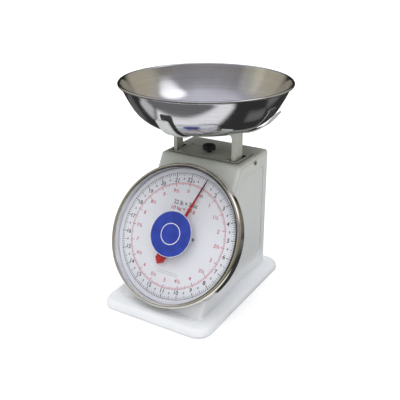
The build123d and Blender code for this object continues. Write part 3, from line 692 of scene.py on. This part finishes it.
def kilo_scale():
    """Red inner scale: a circle, 50 gram ticks and a number at each half kilogram."""
    bm = bmesh.new()
    ink_ring(bm, 86.8, 0.5)
    per_kilo = 360 / KILOS
    for k in range(math.ceil(KILOS * 20)):
        if k % 10 == 0:
            tick(bm, k * per_kilo / 20, 81.0, 88.0, 1.1)
        elif k % 5 == 0:
            tick(bm, k * per_kilo / 20, 82.8, 87.0, 0.95)
        else:
            tick(bm, k * per_kilo / 20, 84.0, 86.8, 0.8)
    lettering(bm, "0", *clock_point(74.5, 0), 6.0, bold=0.018)
    lettering(bm, "500", *clock_point(74.5, per_kilo / 2), 4.6, bold=0.018)
    for half in range(2, 20):
        words = str(half // 2) + ("½" if half % 2 else "")
        lettering(bm, words, *clock_point(74.0, half * per_kilo / 2), 6.2, bold=0.018)
    lettering(bm, "10 kg × 50 g", -0.5, 43.0, 7.4, bold=0.015, wide=44.5)
    return finish_mesh("scale_kilos", bm, INK_RED, "housing", 30, DIAL)


def rules():
    """Two thin plain rules under the hub."""
    bm = bmesh.new()
    for y, x0, x1 in ((-60.6, -19.0, 19.5), (-64.0, -21.0, 21.5)):
        slab(bm, [(x0, y), (x1, y), (x1, y + 0.5), (x0, y + 0.5)], INK_SINK, INK_THICK)
    return finish_mesh("dial_rules", bm, INK_GREY, "housing", 30, DIAL)


# ----------------------------------------------------------- bezel and lens
def bezel():
    """Rolled chrome ring: skirt, sloping flank, round nose and an inner bead against the lens."""
    skirt = BEZEL_R - 1.4
    profile = [(skirt, 11.0), (skirt, -2.0), (BEZEL_R - 0.3, -2.0), (BEZEL_R, -1.7), (BEZEL_R, 11.6)]
    for radius, start, end in ((1.2, 0, 25), (7.0, 25, 48), (2.4, 48, 128)):
        r, z = profile[-1]
        hub = (r - radius * math.cos(math.radians(start)), z - radius * math.sin(math.radians(start)))
        profile += arc(hub, radius, start, end, 10)[1:]
    profile += arc((LIP_R + 1.45, 13.75), 1.35, 78, 200, 10)
    profile += [(LIP_R + 0.1, 13.1), (BEZEL_R - 4.2, 13.1)]
    profile += arc((BEZEL_R - 4.6, 11.0), 3.2, 60, 0, 6)
    return finish_mesh("bezel_plated", lathe(profile, 288), LOOKS["bezel_chrome"], "housing", 40, DIAL,
                       ["bezel_ring"])


def dome_z(r, lift=0.0):
    """Height of the lens's outside at a radius."""
    rise = LENS_TOP_Z - LENS_EDGE_Z
    sphere = (LENS_EDGE_R ** 2 + rise ** 2) / (2 * rise)
    return LENS_TOP_Z - sphere + math.sqrt(sphere ** 2 - r ** 2) + lift


def badge():
    """Round film badge on the lens; its thin printed border is a separate ring made by badge_ring."""
    rows = [k / 16 * (BADGE_R - 0.2) for k in range(17)]
    profile = [(r, dome_z(r, 0.45)) for r in rows] + [(BADGE_R, dome_z(BADGE_R, 0.3))]
    profile += [(BADGE_R, dome_z(BADGE_R, 0.06))] + [(r, dome_z(r, 0.06)) for r in rows[::-1]]
    return finish_mesh("badge_film", lathe(profile, 144), LOOKS["badge_blue"], "housing", 40, DIAL,
                       ["lens_badge"])


def badge_ring(name, radius, width):
    """Thin raised white ring on the badge."""
    r0 = radius - width / 2
    r1 = radius + width / 2
    profile = [(r, dome_z(r, lift)) for r, lift in ((r0, 0.4), (r1, 0.4), (r1, 0.52), (r0, 0.52))]
    return finish_mesh(name, lathe(profile, 144), badge_print, "housing", 30, DIAL)


badge_print = badge_white()
bowl()
pound_scale()
kilo_scale()
rules()
bezel()
badge()
badge_ring("badge_border", BADGE_R - 0.4, 0.7)
badge_ring("badge_inner_ring", 17.0, 1.3)


# ------------------------------------------------------------------- stage
FLOOR_GLOW = 0.12
# Brightness of the dark bench between the cards.
BENCH_GLOW = 0.045
# Centre and half sizes of each card in metres, how soft its edge is, how bright it is.
CARDS = (
    ((0.03, -0.155), (0.310, 0.070), 0.030, 1.15),
    ((-0.40, -0.145), (0.100, 0.075), 0.040, 0.70),
    ((-0.03, -0.335), (0.370, 0.130), 0.045, 0.21),
    ((0.28, 0.200), (0.050, 0.120), 0.040, 0.18),
    ((0.50, 0.520), (0.20, 0.220), 0.060, 0.20),
    ((-0.60, 0.300), (0.18, 0.250), 0.060, 0.14),
)


def plane(name, half_x, half_y, z):
    """Flat sheet centred on the origin, staged so that it isn't part of the object."""
    mesh = bpy.data.meshes.new(name)
    corners = [(-half_x, -half_y, z), (half_x, -half_y, z), (half_x, half_y, z), (-half_x, half_y, z)]
    mesh.from_pydata(corners, [], [(0, 1, 2, 3)])
    sheet = bpy.data.objects.new(name, mesh)
    bpy.context.scene.collection.objects.link(sheet)
    return sheet


def floor():
    """Plain pale floor, far larger than the view, faintly lit from below like a light table."""
    look = Look("floor_paper", (0.93, 0.93, 0.93), 0.9,
                Emission_Color=(1, 1, 1, 1), Emission_Strength=FLOOR_GLOW)
    look.paint(look.shades(look.noise(3.0, 2.0), 0.995, 1.005))
    sheet = plane("floor", 14.0, 14.0, 0.0)
    sheet.data.materials.append(look.material)
    sheet.visible_glossy = False


def bounce_card():
    """Pale cards on the floor round the scale, seen only by reflections in the metal."""
    material = bpy.data.materials.new("bounce_card")
    material.use_nodes = True
    nodes = material.node_tree.nodes
    links = material.node_tree.links
    nodes.clear()
    here = nodes.new("ShaderNodeTexCoord").outputs["Object"]
    total = None
    for centre, half, soft, strength in CARDS:
        offset = nodes.new("ShaderNodeVectorMath")
        offset.operation = "SUBTRACT"
        offset.inputs[1].default_value = (*centre, 0.0)
        links.new(here, offset.inputs[0])
        parts = nodes.new("ShaderNodeSeparateXYZ")
        links.new(offset.outputs["Vector"], parts.inputs[0])
        level = None
        for axis, reach in zip("XY", half):
            size = nodes.new("ShaderNodeMath")
            size.operation = "ABSOLUTE"
            links.new(parts.outputs[axis], size.inputs[0])
            fade = nodes.new("ShaderNodeMapRange")
            fade.interpolation_type = "SMOOTHSTEP"
            fade.inputs["From Min"].default_value = reach - soft
            fade.inputs["From Max"].default_value = reach + soft
            fade.inputs["To Min"].default_value = strength if axis == "X" else 1.0
            fade.inputs["To Max"].default_value = 0.0
            links.new(size.outputs[0], fade.inputs["Value"])
            if level is None:
                level = fade.outputs["Result"]
            else:
                both = nodes.new("ShaderNodeMath")
                both.operation = "MULTIPLY"
                links.new(level, both.inputs[0])
                links.new(fade.outputs["Result"], both.inputs[1])
                level = both.outputs[0]
        brightest = nodes.new("ShaderNodeMath")
        brightest.operation = "MAXIMUM"
        brightest.inputs[1].default_value = BENCH_GLOW
        links.new(level, brightest.inputs[0])
        if total is not None:
            links.new(total, brightest.inputs[1])
        total = brightest.outputs[0]
    glow = nodes.new("ShaderNodeEmission")
    links.new(total, glow.inputs["Strength"])
    links.new(glow.outputs["Emission"], nodes.new("ShaderNodeOutputMaterial").inputs["Surface"])
    sheet = plane("bounce_card", 0.75, 0.75, -0.002)
    sheet.data.materials.append(material)
    sheet.visible_camera = False
    sheet.visible_diffuse = False
    sheet.visible_transmission = False
    sheet.visible_shadow = False


# Soft lamps far away, as patches of sky: direction, angle where the patch is full, angle where it
# ends, colour. The first set lights the painted surfaces, the second is what polished metal reflects.
LAMPS = (
    ((0.0, 0.0, 1.0), 18, 40, (3.2, 3.2, 3.25)),
    ((0.55, -0.60, 0.60), 15, 32, (1.55, 1.55, 1.55)),
    ((0.0, -0.80, 0.60), 15, 32, (1.0, 1.0, 1.0)),
    ((-0.90, 0.20, 0.50), 15, 32, (1.1, 1.1, 1.1)),
    ((0.0, 0.80, 0.60), 15, 32, (0.7, 0.7, 0.7)),
)
WINDOWS = (
    ((0.0, 0.0, 1.0), 20, 50, (0.25, 0.25, 0.27)),
    ((0.608, 0.208, 0.766), 8, 21, (1.3, 1.3, 1.32)),
    ((-0.655, -0.567, 0.50), 8, 22, (0.18, 0.18, 0.14)),
    ((-0.95, -0.18, 0.26), 12, 40, (0.26, 0.24, 0.17)),
    ((0.61, 0.75, 0.26), 12, 40, (0.26, 0.24, 0.17)),
    ((-0.5135, 0.858, 0.22), 20, 46, (-0.30, -0.28, -0.22)),
)
# What the metal sees of the room over the height of the direction, from straight down to straight up.
WINDOW_ROOM = (
    (0.00, (0.030, 0.030, 0.042)),
    (0.26, (0.030, 0.030, 0.042)),
    (0.38, (0.13, 0.125, 0.11)),
    (0.52, (0.24, 0.22, 0.175)),
    (0.70, (0.285, 0.265, 0.22)),
    (0.80, (0.34, 0.33, 0.34)),
    (1.00, (0.48, 0.48, 0.53)),
)


def room_ramp(tree, direction, stops):
    """Colour over the height of the direction."""
    nodes = tree.nodes
    links = tree.links
    parts = nodes.new("ShaderNodeSeparateXYZ")
    links.new(direction, parts.inputs[0])
    height = nodes.new("ShaderNodeMapRange")
    height.inputs["From Min"].default_value = -1.0
    links.new(parts.outputs["Z"], height.inputs["Value"])
    room = nodes.new("ShaderNodeValToRGB")
    fill_ramp(room.color_ramp, stops)
    links.new(height.outputs["Result"], room.inputs["Fac"])
    return room.outputs["Color"]


def room_light(tree, direction, patches, room=None):
    """Colour over the direction: round soft patches, on top of the room's own colour if it has one."""
    nodes = tree.nodes
    links = tree.links
    total = room
    for aim, full, end, colour in patches:
        dot = nodes.new("ShaderNodeVectorMath")
        dot.operation = "DOT_PRODUCT"
        dot.inputs[1].default_value = Vector(aim).normalized()
        links.new(direction, dot.inputs[0])
        patch = nodes.new("ShaderNodeMapRange")
        patch.interpolation_type = "SMOOTHSTEP"
        patch.inputs["From Min"].default_value = math.cos(math.radians(end))
        patch.inputs["From Max"].default_value = math.cos(math.radians(full))
        links.new(dot.outputs["Value"], patch.inputs["Value"])
        lamp = nodes.new("ShaderNodeVectorMath")
        lamp.operation = "SCALE"
        lamp.inputs[0].default_value = colour
        links.new(patch.outputs["Result"], lamp.inputs["Scale"])
        both = nodes.new("ShaderNodeVectorMath")
        if total is not None:
            links.new(total, both.inputs[0])
        links.new(lamp.outputs["Vector"], both.inputs[1])
        total = both.outputs["Vector"]
    clear = nodes.new("ShaderNodeVectorMath")
    clear.operation = "MAXIMUM"
    clear.inputs[1].default_value = (0.02, 0.02, 0.02)
    links.new(total, clear.inputs[0])
    return clear.outputs["Vector"]


def world():
    """Dim room with soft lamps; straight to the camera it is plain white."""
    scene = bpy.context.scene
    scene.world = bpy.data.worlds.new("studio")
    scene.world.use_nodes = True
    tree = scene.world.node_tree
    nodes = tree.nodes
    links = tree.links
    direction = nodes.new("ShaderNodeTexCoord").outputs["Generated"]
    ray = nodes.new("ShaderNodeLightPath")
    lit = room_light(tree, direction, LAMPS)
    seen = room_light(tree, direction, WINDOWS, room_ramp(tree, direction, WINDOW_ROOM))
    shown = lit
    for test, colour in (("Is Glossy Ray", seen), ("Is Camera Ray", None)):
        mix = nodes.new("ShaderNodeMix")
        mix.data_type = "RGBA"
        links.new(shown, mix.inputs[6])
        if colour:
            links.new(colour, mix.inputs[7])
        else:
            mix.inputs[7].default_value = (1, 1, 1, 1)
        links.new(ray.outputs[test], mix.inputs["Factor"])
        shown = mix.outputs[2]
    links.new(shown, nodes["Background"].inputs["Color"])


def camera():
    data = bpy.data.cameras.new("camera")
    data.lens = CAMERA_LENS
    data.sensor_width = 36.0
    data.clip_start = 0.05
    data.clip_end = 60.0
    eye = bpy.data.objects.new("camera", data)
    eye.location = CAMERA_AT
    eye.rotation_euler = (math.radians(90 - CAMERA_DOWN), 0, math.radians(CAMERA_TURN))
    bpy.context.scene.collection.objects.link(eye)
    bpy.context.scene.camera = eye


camera()
world()
floor()
bounce_card()
bpy.context.scene.view_settings.view_transform = "Standard"
